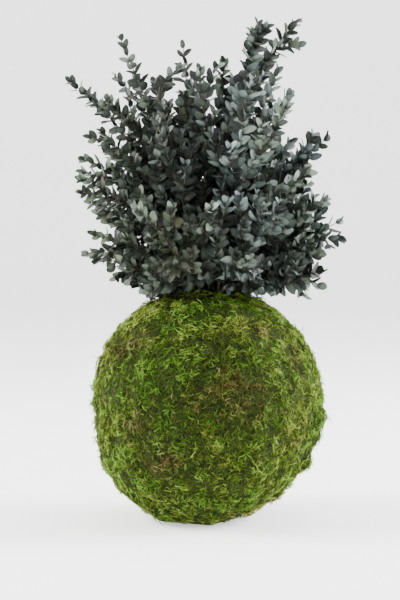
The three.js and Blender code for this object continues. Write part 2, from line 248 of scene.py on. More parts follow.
def cushions(points):
    """How far the moss's cushions stand out at points: two wave fields, and a round tuft at each of
    TUFTS."""
    wide = 0.5 * wave_field(points, 3, CUSHION_WIDTHS[0], CUSHION_WAVES)
    height = CUSHION_HEIGHT * (wide + 0.45 * wave_field(points, 4, CUSHION_WIDTHS[1], CUSHION_WAVES))
    for place, stand, width in TUFTS:
        height = height + stand * near(points, place, width)
    return height


def ball_skin(upright, turn, inset, relief):
    """Points of the ball, `inset` smaller all round, at angles from upright and round its axis, moved
    out by `relief` times its cushions, and pressed flat where it rests."""
    radius = BALL_RADIUS - inset
    rise = CROWN_RISE - inset
    drop = SAG_DROP - inset
    height = np.cos(upright) * np.where(np.cos(upright) > 0, rise, drop)
    reach = ball_reach(height, radius, rise, drop)
    points = polar(reach, turn, height)
    out = points / radius
    points = points * (1 + lumps(out[..., 0], out[..., 1], out[..., 2]))[..., None]
    points = points + unit(out) * (relief * cushions(points + (0, 0, WAIST_HEIGHT)))[..., None]
    points[..., 0] += BALL_LEAN * points[..., 2]
    floor = 0 if inset < MOSS_THICKNESS / 2 else inset
    points[..., 2] = np.maximum(points[..., 2] + WAIST_HEIGHT, floor)
    return points


def mesh_piece(name, points, faces, finishes):
    """A mesh object at the origin, with its finishes, from an array of points and from arrays of faces,
    each of whose rows lists one face's points."""
    sizes = np.concatenate([np.full(len(group), group.shape[1]) for group in faces])
    corners = np.concatenate([group.ravel() for group in faces])
    mesh = bpy.data.meshes.new(name)
    mesh.vertices.add(len(points))
    mesh.vertices.foreach_set("co", np.asarray(points, np.float32).ravel())
    mesh.loops.add(len(corners))
    mesh.loops.foreach_set("vertex_index", corners.astype(np.int32))
    mesh.polygons.add(len(sizes))
    mesh.polygons.foreach_set("loop_start", (np.cumsum(sizes) - sizes).astype(np.int32))
    mesh.update(calc_edges=True)
    mesh.shade_smooth()
    piece = bpy.data.objects.new(name, mesh)
    bpy.context.scene.collection.objects.link(piece)
    for finish in finishes:
        mesh.materials.append(finish)
    return piece


def grid_skin(rows, columns):
    """Faces of a closed skin over a grid of points, `rows` rings of `columns` points each, then one
    point at each pole, with rings that run anticlockwise seen from the far pole."""
    row, column = np.meshgrid(np.arange(rows - 1), np.arange(columns), indexing="ij")
    a = row * columns + column
    b = row * columns + (column + 1) % columns
    walls = np.stack([a, b, b + columns, a + columns], -1).reshape(-1, 4)
    turn = np.arange(columns)
    ahead = (turn + 1) % columns
    last = (rows - 1) * columns
    pole = np.full(columns, rows * columns)
    start = np.stack([pole, ahead, turn], -1)
    end = np.stack([pole + 1, last + turn, last + ahead], -1)
    return [walls, np.concatenate([start, end])]


def blanket():
    """The blanket's points: its outside from the flat spot up to the mouth, down the mouth's wall, and
    back along its inside to the middle of the bottom."""
    flat = math.acos(-WAIST_HEIGHT / SAG_DROP)
    turn = np.linspace(0, 2 * math.pi, BLANKET_SIDES, endpoint=False)
    mouth = math.asin(MOUTH_RADIUS / BALL_RADIUS)
    outer = np.linspace(flat, mouth + MOUTH_LIPS[0], BLANKET_OUTER_ROWS)
    inner = np.linspace(mouth + MOUTH_LIPS[1], flat, BLANKET_INNER_ROWS)
    relief = np.clip((flat - outer) / 0.2, 0, 1)
    outside = ball_skin(outer[:, None], turn, SHOOTS_STAND, relief[:, None])
    inside = ball_skin(inner[:, None], turn, MOSS_THICKNESS - SOIL_GAP, 0)
    rings = np.concatenate([outside, inside])
    poles = np.array([[0, 0, 0], [0, 0, MOSS_THICKNESS - SOIL_GAP]])
    points = np.concatenate([rings.reshape(-1, 3), poles])
    return points, grid_skin(len(rings), BLANKET_SIDES)


blanket_finish, tree, shader = material("moss_mat", 0.95)
strands = textured(tree, "Noise", Scale=380, Detail=5, Distortion=2)["Fac"]
mat_color = ramp(tree, strands, MAT_COLORS)
feed(tree, shader["Base Color"], mottled(tree, mat_color, 45, 0.7)["Color"])
bumped(tree, strands, 0.002, shader)
shader["Specular IOR Level"].default_value = 0.1
moss_blanket = mesh_piece("moss_blanket", *blanket(), [blanket_finish])
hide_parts("moss_wrap")
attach(moss_blanket, "root")


# Moss shoots
# The living moss: creeping, feathered shoots 5 to 9 mm long that lie tangled over each other, held by
# the blanket's old growth. They are bright yellow-green to dark green, and brown where the moss has dried
# out, with painted light on the cushions and painted shade in the hollows. The moss was laid in four
# sheets, each a piece here.

SHOOTS = 19000
# One kind of shoot: its length, radius and lift from least to most, the size of its wave, how far along
# it has a ring of points, how wide it is there, how many branchlets it has, and how bright it is
SHOOT = {
    "length": (0.0048, 0.0094),
    "radius": (0.00030, 0.00046),
    "lift": (0.10, 0.50),
    "curl": 0.06,
    "stations": np.array([0.35, 0.70]),
    "taper": np.array([1, 0.85]),
    "branchlets": 3,
    "tone": 0.51,
}
# The older growth under them, which lies flatter and has no branchlets left
UNDERGROWTHS = 24000
UNDERGROWTH = {
    "length": (0.0045, 0.0085),
    "radius": (0.00036, 0.00056),
    "lift": (0.02, 0.28),
    "curl": 0.0,
    "stations": np.array([0.45]),
    "taper": np.array([1]),
    "branchlets": 0,
    "tone": 0.31,
}
SHOOT_SINK = 0.0006
STRAY_SHOOTS = 0.09  # share that stand far out
DRY_SHOOTS = 0.08  # share that have dried out
SOWN_STRAY = 0.012  # how far, in radians, a root strays from its place
TOP_ROOTS = 0.28  # how near the top, in radians, the first shoots root
CLUMP_RISE = 0.0014
BRANCHLET_LENGTH = 0.0025
BRANCHLET_RADIUS = 0.00032
SHEETS = ["front", "right", "back", "left"]
# The shoots' colours from dark, 0, to bright, 1, where how bright a shoot is holds painted light and shade
FRESH_COLORS = [
    (0.0, 0.003, 0.007, 0.001),
    (0.35, 0.015, 0.037, 0.004),
    (0.7, 0.064, 0.152, 0.012),
    (1.0, 0.146, 0.295, 0.034),
]
YELLOW_COLORS = [
    (0.0, 0.005, 0.007, 0.001),
    (0.35, 0.036, 0.045, 0.004),
    (0.7, 0.135, 0.170, 0.020),
    (1.0, 0.265, 0.320, 0.058),
]
DRY_COLORS = [
    (0.0, 0.008, 0.005, 0.002),
    (0.35, 0.036, 0.023, 0.007),
    (0.7, 0.100, 0.065, 0.023),
    (1.0, 0.205, 0.162, 0.072),
]
LEAF_SHADE = 0.204, 0.008  # where the lowest leaves begin to shade the moss, and how soon in full
# The patches that show on the ball's front: where each is, how wide, and how dry, yellow and bright
PATCHES = [
    ((0.023, -0.107, 0.134), 0.020, 1.4, 0, -0.06),
    ((-0.005, -0.110, 0.128), 0.015, 1.1, 0, -0.08),
    ((0.041, -0.103, 0.123), 0.016, 1.2, 0, -0.03),
    ((-0.068, -0.087, 0.101), 0.015, 1.2, 0, -0.02),
    ((-0.042, -0.092, 0.067), 0.020, 1.2, 0, -0.08),
    ((-0.063, -0.065, 0.177), 0.014, 1.2, 0, -0.03),
    ((-0.086, -0.048, 0.165), 0.014, 1.0, 0, -0.06),
    ((0.054, -0.061, 0.188), 0.012, 1.1, 0, 0),
    ((0.084, -0.055, 0.160), 0.015, 1.0, 0.3, 0),
    ((-0.062, -0.088, 0.140), 0.012, 0, -0.9, 0.14),
    ((-0.069, -0.073, 0.160), 0.014, 0, -0.6, 0.05),
    ((-0.012, -0.072, 0.196), 0.010, 0, -0.4, 0.06),
    ((0.043, -0.053, 0.200), 0.010, 0, -0.4, 0),
    ((-0.032, -0.104, 0.092), 0.009, 0, -0.5, 0.08),
    ((-0.080, -0.066, 0.074), 0.014, 0, -0.5, 0.08),
    ((0.003, -0.070, 0.027), 0.014, 0, -0.3, 0.08),
    ((-0.040, -0.060, 0.018), 0.014, 0, -0.3, 0.05),
    ((-0.035, -0.098, 0.151), 0.022, 0, -0.3, -0.03),
    ((-0.030, -0.106, 0.118), 0.020, 0, -0.4, -0.08),
    ((-0.075, -0.039, 0.185), 0.016, 0, 0.35, 0.06),
    ((0.066, -0.077, 0.158), 0.012, 0.1, 0.5, 0.05),
    ((0.087, -0.068, 0.103), 0.024, 0.05, 0.4, 0.05),
    ((0.060, -0.058, 0.040), 0.018, 0.1, 0.5, 0.07),
]


def sown(count, seed):
    """`count` rooting points spread evenly over the ball by the golden angle, each with its way out and
    two ways along the skin."""
    rng = np.random.default_rng(seed)
    flat = -WAIST_HEIGHT / SAG_DROP
    mouth = math.cos(math.asin(MOUTH_RADIUS / BALL_RADIUS))
    share = (np.arange(count) + 0.5) / count
    upright = np.arccos(flat + (mouth - flat) * share) + rng.normal(0, SOWN_STRAY, count)
    turn = np.arange(count) * math.pi * (3 - math.sqrt(5)) + rng.normal(0, SOWN_STRAY, count)
    upright = np.clip(upright, TOP_ROOTS, math.acos(flat) + 0.02)
    step = 0.01
    root = ball_skin(upright, turn, SHOOTS_STAND, 1)
    around = unit(ball_skin(upright, turn + step, SHOOTS_STAND, 1) - root)
    rising = ball_skin(upright - step, turn, SHOOTS_STAND, 1) - root
    out = unit(np.cross(around, rising))
    return root, out, around, np.cross(out, around)


def rings(side, over, turn, radius):
    """Points round a middle, at turns: radius x (side x cos(turn) + over x sin(turn))."""
    ring = side[..., None, :] * np.cos(turn)[:, None] + over[..., None, :] * np.sin(turn)[:, None]
    return ring * radius[..., None, None]


def shoots(kind, root, out, way, seed):
    """Shoots of a kind, each a three-sided tapered rod and its branchlets. A rod's middle runs from its
    root along `way`, rises by lift x share - droop x share^2 of its length, and swings aside by
    bend x share^2 and by a wave of height curl. Its branchlets are slim three-sided spikes, by turns
    on its left and right. Gives points, triangles, and each point's share of the way along its shoot,
    one row a shoot."""
    rng = np.random.default_rng(seed)
    count = len(root)
    length = rng.uniform(*kind["length"], count)
    radius = rng.uniform(*kind["radius"], count)
    stray = rng.random(count) < STRAY_SHOOTS
    lift = np.minimum(1.1, rng.uniform(*kind["lift"], count) * np.where(stray, 2.4, 1))
    droop = lift * rng.uniform(0.4, 1.5, count) * np.where(stray, 0.7, 1)
    bend = rng.normal(0, 0.5, count)
    curl = kind["curl"] * rng.normal(0, 1, count)
    phase = rng.uniform(0, 2 * math.pi, count)
    aside = np.cross(out, way)

    def middle(share):
        run = share[..., None]
        along = way[:, None] * (length[:, None, None] * run * (1 - 0.12 * run))
        wave = np.sin(5.5 * share + phase[:, None]) - np.sin(phase)[:, None]
        swing = length[:, None] * (bend[:, None] * share**2 + curl[:, None] * wave)
        rise = length[:, None] * (lift[:, None] * share - droop[:, None] * share**2) - SHOOT_SINK
        return root[:, None] + along + aside[:, None] * swing[..., None] + out[:, None] * rise[..., None]

    def tangent(share):
        return unit(middle(share + 0.05) - middle(share - 0.05))

    def triangle(ahead, reach):
        side = unit(np.cross(ahead, out[:, None]))
        return rings(side, np.cross(side, ahead), np.array([0.5, 7 / 6, 11 / 6]) * math.pi, reach)

    stations = kind["stations"]
    share = np.broadcast_to(stations, (count, len(stations)))
    rods = middle(share)[:, :, None] + triangle(tangent(share), radius[:, None] * kind["taper"])
    ends = middle(np.broadcast_to([0.0, 1.0], (count, 2)))
    walls, caps = grid_skin(len(stations), 3)
    faces = [walls[:, [0, 1, 2]], walls[:, [0, 2, 3]], caps]

    spikes = kind["branchlets"]
    leaving = np.linspace(0.2, 0.75, spikes) + rng.uniform(-0.1, 0.15, (count, spikes))
    ahead = tangent(leaving)
    side = unit(np.cross(ahead, out[:, None])) * np.where(np.arange(spikes) % 2, 1, -1)[:, None]
    raised = rng.uniform(-0.15, 0.75, (count, spikes, 1))
    heading = unit(ahead * 0.75 + side * 0.8 + out[:, None] * raised)
    reach = BRANCHLET_LENGTH * rng.uniform(0.6, 1.3, (count, spikes))
    start = middle(leaving)
    feet = start[:, :, None] + triangle(heading, np.full((count, spikes), BRANCHLET_RADIUS))
    tips = (start + heading * reach[..., None])[:, :, None]
    spike_points = np.concatenate([feet, tips], axis=2).reshape(count, -1, 3)
    spike_share = np.stack([leaving] * 3 + [leaving + 0.25], -1).reshape(count, -1)
    spike = np.array([(0, 2, 1), (0, 1, 3), (1, 2, 3), (2, 0, 3)])
    first = 3 * len(stations) + 2
    faces.append((spike + first + 4 * np.arange(spikes)[:, None, None]).reshape(-1, 3))

    points = np.concatenate([rods.reshape(count, -1, 3), ends, spike_points], axis=1)
    triangles = np.concatenate(faces) + points.shape[1] * np.arange(count)[:, None, None]
    rod_share = np.broadcast_to(np.append(np.repeat(stations, 3), [0, 1]), (count, first))
    return points, triangles.reshape(-1, 3), np.concatenate([rod_share, spike_share], axis=1)


def mottling(points):
    """How dry, yellow and bright the moss is by place, beside its average: the sum of PATCHES, each
    exp(-(gap / width)^3) with a ragged edge. Behind, it is dry where a slow wave field is high. Finer
    waves break up the dryness."""
    ragged = 0.0035 * wave_field(points, 22, 0.012, 20)
    mottled_by = np.zeros((3, len(points)))
    for place, width, *amounts in PATCHES:
        gap = np.maximum(0, np.linalg.norm(points - place, axis=-1) + ragged)
        mottled_by += np.outer(amounts, np.exp(-((gap / width) ** 3)))
    dry, yellow, bright = mottled_by
    behind = np.clip(0.5 + points[:, 1] / 0.08, 0, 1)
    dry = np.maximum(dry, behind * np.clip((wave_field(points, 21, 0.075, 12) - 0.55) / 0.9, 0, 1))
    return np.clip(dry * (0.75 + 0.4 * wave_field(points, 23, 0.006, 24)), 0, 1), yellow, bright


def set_point_vectors(piece, name, values):
    """Stores three numbers for each point of a piece's mesh, under a name that its material reads."""
    attribute = piece.data.attributes.new(name, "FLOAT_VECTOR", "POINT")
    attribute.data.foreach_set("vector", np.asarray(values, np.float32).ravel())


def stored(tree, name):
    """The three numbers stored at each point under a name, as the sockets X, Y and Z."""
    vector = node(tree, "Attribute", attribute_name=name).outputs["Vector"]
    return node(tree, "SeparateXYZ", {0: vector}).outputs


def blended(tree, factor, first, second):
    """A colour that goes from the first to the second, each four numbers or a socket, with the factor."""
    return node(tree, "Mix", {"Factor": factor, 6: first, 7: second}, data_type="RGBA").outputs[2]


def moss_finish():
    """Moss shoots by their stored growth: X is how bright, from a dark foot to a bright tip, with painted
    light and shade in it, Y is how dry, and Z is how yellow, with painted rim light in it too."""
    finish, tree, shader = material("moss_shoots", 0.8)
    shader["Specular IOR Level"].default_value = 0.05
    growth = stored(tree, "growth")
    fresh, yellow, dry = (ramp(tree, growth["X"], c) for c in (FRESH_COLORS, YELLOW_COLORS, DRY_COLORS))
    color = blended(tree, growth["Y"], blended(tree, growth["Z"], fresh, yellow), dry)
    feed(tree, shader["Base Color"], mottled(tree, color, 260, 0.5)["Color"])
    return finish


MOSS_SHOOTS = moss_finish()


def clumps(points):
    """From about -1, where the shoots sink, to 1, where they stand in small clumps: two wave fields."""
    return 0.75 * wave_field(points, 35, 0.007, 24) + 0.65 * wave_field(points, 36, 0.016, 20)


def growth_and_painted_light_of(kind, root, along, seed):
    """The growth of shoots' points: bright, dry and yellow, each a sum of these. They are brighter
    towards the tips, partly the young tips' own lighter colour and partly painted shade at the feet. They
    are brighter on the cushions and on the clumps and darker in the hollows between, which is painted
    light and shade, and darker under the lowest leaves, painted shade. The middle of the ball's front and
    back is a little darker and greener than its edge, where the lighter, yellower ring is painted rim
    light.
    Yellowness changes slowly over the ball, in two wave fields. The patches and a random part for each
    shoot are added."""
    rng = np.random.default_rng(seed)
    count = len(root)
    # Painted light and shade: brighter on the cushions and clumps, darker in the hollows between
    raised = np.clip(cushions(root) / CUSHION_HEIGHT, -1.5, 1.5)
    # Painted rim light: brighter and yellower towards the ball's edge, seen from its front and back
    aside = np.clip((root[:, 0] ** 2 + (root[:, 2] - WAIST_HEIGHT) ** 2) / BALL_RADIUS**2, 0, 1)
    dryness, yellowness, brightness = mottling(root)
    shaded = np.clip((root[:, 2] - LEAF_SHADE[0]) / LEAF_SHADE[1], 0, 1)
    bright = kind["tone"] + 0.12 * raised + 0.36 * clumps(root) + rng.normal(0, 0.12, count)
    bright = bright + 0.11 * (aside - 0.6) + brightness - 0.22 * shaded
    dry = dryness * rng.uniform(0.6, 1.4, count) + 0.8 * (rng.random(count) < DRY_SHOOTS)
    yellow = 0.26 + 0.32 * wave_field(root, 33, 0.05, 10) + 0.32 * wave_field(root, 34, 0.016, 16)
    yellow = yellow + rng.normal(0, 0.26, count) + 0.30 * (aside - 0.5) + yellowness
    # From a dark foot to a bright tip: partly the young tips' own colour, partly painted shade at the foot
    tone = bright[:, None] + 0.40 * (along - 0.45)
    return np.clip(np.stack(np.broadcast_arrays(tone, dry[:, None], yellow[:, None]), -1), 0, 1)


def moss_piece(name, layers):
    """A piece of moss from layers of shoots, each a kind, roots, ways out, ways along and a seed. None
    reaches below the table."""
    points, faces, growths = [], [], []
    for kind, root, out, way, seed in layers:
        made, triangles, along = shoots(kind, root, out, way, seed)
        faces.append(triangles + sum(len(other) for other in points))
        points.append(made.reshape(-1, 3))
        growths.append(growth_and_painted_light_of(kind, root, along, seed + 1).reshape(-1, 3))
    every = np.concatenate(points)
    every[:, 2] = np.maximum(every[:, 2], 0.0002)
    piece = mesh_piece(name, every, faces, [MOSS_SHOOTS])
    set_point_vectors(piece, "growth", np.concatenate(growths))
    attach(piece, "root")


def laid(kind, count, seed):
    """`count` shoots of a kind sown over the ball, as the number of the sheet that each is on, their
    roots, ways out and ways along, which swirl slowly over the ball and differ at random."""
    root, out, around, rising = sown(count, seed)
    swirl = math.pi * wave_field(root, 8, 0.045, 12)
    swirl = swirl + np.random.default_rng(seed + 1).normal(0, 1.1, count)
    way = around * np.cos(swirl)[:, None] + rising * np.sin(swirl)[:, None]
    quarter = np.floor((np.arctan2(root[:, 1], root[:, 0]) / math.pi + 0.75) * 2).astype(int) % 4
    return quarter, root + out * (CLUMP_RISE * clumps(root))[:, None], out, way


young = laid(SHOOT, SHOOTS, 5)
old = laid(UNDERGROWTH, UNDERGROWTHS, 15)
for k, sheet in enumerate(SHEETS):
    layers = []
    for kind, (quarter, root, out, way), seed in ((SHOOT, young, 40 + k), (UNDERGROWTH, old, 50 + k)):
        own = quarter == k
        layers.append((kind, root[own], out[own], way[own], seed))
    moss_piece(f"moss_sheet_{sheet}", layers)


# Moss collar
# Where the sheets' top edges are gathered round the stems, their shoots, 8 to 15 mm long here, stand up
# among the lowest leaves, and a few grow over the bare soil between the stems.

COLLAR_SHOOTS = 900
COLLAR_REACH = 0.044
COLLAR_SHOOT = {**SHOOT, "length": (0.008, 0.015), "lift": (0.6, 1.3), "tone": 0.46}
CROWN_TOP = 0.219  # of the bare soil, in its middle
CROWN_EDGE = 0.212  # of the bare soil, at the mouth's edge


def collar_roots(count, seed):
    """Points on the crown, dense at the mouth's edge and sparse in the middle, with their ways out and
    along. The crown falls from CROWN_TOP to CROWN_EDGE with the square of the distance from the middle."""
    rng = np.random.default_rng(seed)
    reach = COLLAR_REACH * np.sqrt(rng.uniform(0.12, 1, count))
    turn = rng.uniform(0, 2 * math.pi, count)
    fall = (CROWN_TOP - CROWN_EDGE) * (reach / MOUTH_RADIUS) ** 2
    root = polar(reach, turn, CROWN_TOP - fall)
    spread = rng.uniform(0.2, 1.1, count) * reach / COLLAR_REACH
    out = unit(polar(spread, turn, 1))
    flat = polar(1, rng.uniform(0, 2 * math.pi, count), 0)
    return root, out, square_to(out, flat)


moss_piece("moss_collar", [(COLLAR_SHOOT, *collar_roots(COLLAR_SHOOTS, 9), 61)])


# Eucalyptus sprays
# Cut stems of small-leaved eucalyptus, preserved dark grey-green and pushed into the soil in a thick
# bunch. Each is one grown piece: a woody stem, its side twigs and its cupped oval leaves, which stand
# in opposite pairs a quarter turned from each other.

STEM_RING = 0.030  # the outermost stems' distance from the middle, at the crown
RIM_LEAN = 95  # the lean, in degrees from upright, of the sprays that stand in that ring
SET_DEPTH = 0.016
FOOT_RISE = 0.0015  # of a stem's first bend over the soil
SET_LEAN = 0.12  # its lean there, as a share of the spray's whole lean
STEM_RADIUS = 0.0013
STEM_TIP_RADIUS = 0.00045
TWIG_RADIUS = 0.00075
TWIG_ANGLE = 0.66  # between the main twig and its stem, in radians
TWIG_RISE = 0.12  # how much further it rises along the stem, as a share of its length
UPTURN = 0.28  # how far its end turns up to the light, as a share of its length
STEM_SIDES = 5
STEM_STEPS = 14
TWIG_STEPS = 5
STEM_WOBBLE = 0.0011
# The lesser twigs of every stem: at what share of it each leaves, its length, its angle to the stem, and
# how far it turns up along the stem or, below nothing, droops. The first hangs over the moss.
LESSER_TWIGS = [
    (0.05, 0.024, 1.20, -0.20),
    (0.12, 0.030, 0.80, 0.00),
    (0.24, 0.030, 0.66, 0.12),
    (0.37, 0.034, 0.60, 0.12),
    (0.50, 0.032, 0.60, 0.12),
    (0.64, 0.028, 0.55, 0.12),
]
# The stems that lack one of those twigs, by its number
NO_TWIGS = {
    0: {"left_droop", "right_far", "right_low_back", "right_lowest", "right_droop", "front_low_left"}
    | {"front_low_right", "front_mid", "front_high_left", "front_high_right"},
    3: {"left_low_front", "left_mid"},
    4: {"left_low"},
    5: {"left_far", "left_low", "left_low_front"},
}
# Twigs that some stems have besides: at what share of it each leaves, and where it ends
MORE_TWIGS = {
    "left_inner": [(0.93, -0.026, -0.047, 0.4245)],
    "left_far": [(0.70, -0.105, 0.021, 0.395), (0.80, -0.115, 0.039, 0.405)],
    "left_high_front": [(0.66, -0.097, -0.043, 0.366)],
    "left_long": [(0.62, -0.118, -0.004, 0.330)],
    "left_mid_front": [(0.60, -0.116, -0.046, 0.312)],
    "left_low": [(0.62, -0.104, 0.010, 0.246)],
    "left_low_back": [(0.62, -0.101, 0.030, 0.292), (0.50, -0.094, 0.024, 0.284)],
    "left_low_front": [(0.60, -0.106, -0.030, 0.254)],
    "left_lowest": [(0.55, -0.084, -0.028, 0.2325), (0.30, -0.070, -0.030, 0.229)],
    "left_upper": [(0.80, -0.0925, -0.029, 0.397), (0.62, -0.067, -0.028, 0.375)],
    "left_spire": [(0.55, -0.050, -0.017, 0.4115)],
    "middle_spire": [(0.62, -0.013, 0.014, 0.417)],
    "middle_front": [(0.78, 0.007, -0.040, 0.4255), (0.50, 0.0055, -0.034, 0.383)],
    "middle_back": [
        (0.40, -0.014, 0.039, 0.352),
        (0.25, -0.016, 0.028, 0.314),
        (0.30, 0.030, 0.040, 0.330),
        (0.75, 0.0345, 0.044, 0.421),
    ],
    "right_crest": [(0.80, 0.044, -0.019, 0.459), (0.86, 0.054, -0.023, 0.463)],
    "right_spire": [(0.86, 0.084, 0.018, 0.4505), (0.72, 0.0595, 0.018, 0.441)],
    "right_long": [(0.62, 0.097, -0.004, 0.362), (0.40, 0.088, 0.000, 0.347)],
    "right_mid": [(0.60, 0.086, -0.020, 0.302)],
    "right_far": [(0.66, 0.104, 0.004, 0.290), (0.70, 0.122, 0.010, 0.266)],
    "right_low_front": [(0.60, 0.101, -0.030, 0.254), (0.22, 0.066, -0.030, 0.223)],
    "right_lowest": [(0.50, 0.063, -0.018, 0.221), (0.66, 0.088, -0.014, 0.218)],
}
LEAF_LENGTH = 0.0125
LEAF_WIDTH = 0.61  # share of the length
LEAF_THICKNESS = 0.0004
LEAF_FOLD = 0.38  # how steeply its halves rise from the midrib
LEAF_OPENING = 24  # degrees between the youngest leaves and their stem; the oldest open twice as far
LEAF_TURN = 0.7  # how far leaves turn their faces out of the bunch
BUSH_MIDDLE = np.array([0, 0, 0.25])
OUTWARD = np.array([1, 2, 0.4])  # the leaves turn out to the front and back more than sideways or up
ROOT_SINK = 0.0004
LEAF_PAST_TIP = 0.006  # how far the last leaves reach past the stem's end
BARE_LENGTH = 0.012  # of each stem, above the soil
TWIG_BARE = 0.003
TWIG_FAN = 70  # how far the lesser twigs turn, in degrees, to the left and right of their stem's back
TWIG_STRAY = 0.06  # how far they stray along their stem, as a share of it
PAIR_SPACING = 0.0057
TIP_CROWDING = 0.35  # how much closer than that the pairs stand towards a tip
OPEN_CROWDING = -0.5  # and how much further apart on the stems below
OPEN_TOPS = {"left_spire", "left_upper_back", "left_low", "left_lowest", "middle_spire"}
OPEN_TOPS |= {"right_long", "right_far", "right_low_front", "right_lowest", "right_droop"}
# Across a leaf at four places along it: how far along, and the half width there as a share of the widest
LEAF_STATIONS = np.array([0.11, 0.36, 0.68, 0.92])
LEAF_OUTLINE = np.array([0.60, 1.00, 0.90, 0.46])
LEAF_MAP = "along_and_across"
SIDE_VEINS = 9  # from foot to tip
VEIN_SHADES = [(0.0, 0.4, 0.4, 0.4), (0.12, 0, 0, 0), (0.88, 0, 0, 0), (1.0, 0.4, 0.4, 0.4)]
VEIN_COLOR = (0.12, 0.14, 0.105, 1)
WITHERED_COLOR = (0.046, 0.049, 0.018, 1)
# Painted shade at each leaf's foot and margin
BLADE_SHADE_COLOR = (0.006, 0.009, 0.006, 1)
# From the darkest leaf, 0, to the lightest, 1, and from a stem's woody foot, 0, to its green tip
GREEN_COLORS = [(0.0, 0.003, 0.005, 0.002), (0.5, 0.026, 0.039, 0.021), (1.0, 0.148, 0.190, 0.118)]
BLUE_COLORS = [(0.0, 0.004, 0.006, 0.005), (0.5, 0.029, 0.043, 0.042), (1.0, 0.172, 0.220, 0.214)]
STEM_COLORS = [(0.0, 0.030, 0.018, 0.010), (0.45, 0.055, 0.036, 0.020), (0.9, 0.065, 0.058, 0.034)]
# Painted shadow: the share of the leaves painted darker than their neighbours, as if shaded by others
SHADOWED_LEAVES = 0.38  # share of the leaves that are darker than their neighbours
WITHERED_LEAVES = 0.025
# The patches of painted light and shade on the bunch's front: where each is, how wide and how much
# lighter. The first is bluer too.
LEAF_LIGHT_AND_SHADE_PATCHES = [
    ((0.014, -0.070, 0.325), 0.030, 0.22),
    ((-0.026, -0.045, 0.345), 0.040, -0.36),
    ((-0.014, -0.088, 0.262), 0.052, -0.30),
    ((0.034, -0.020, 0.345), 0.045, 0.22),
    ((0.112, 0.000, 0.358), 0.034, -0.55),
    ((0.060, -0.050, 0.240), 0.035, -0.20),
]
OLIVE_PATCH = (-0.030, -0.070, 0.258), 0.026
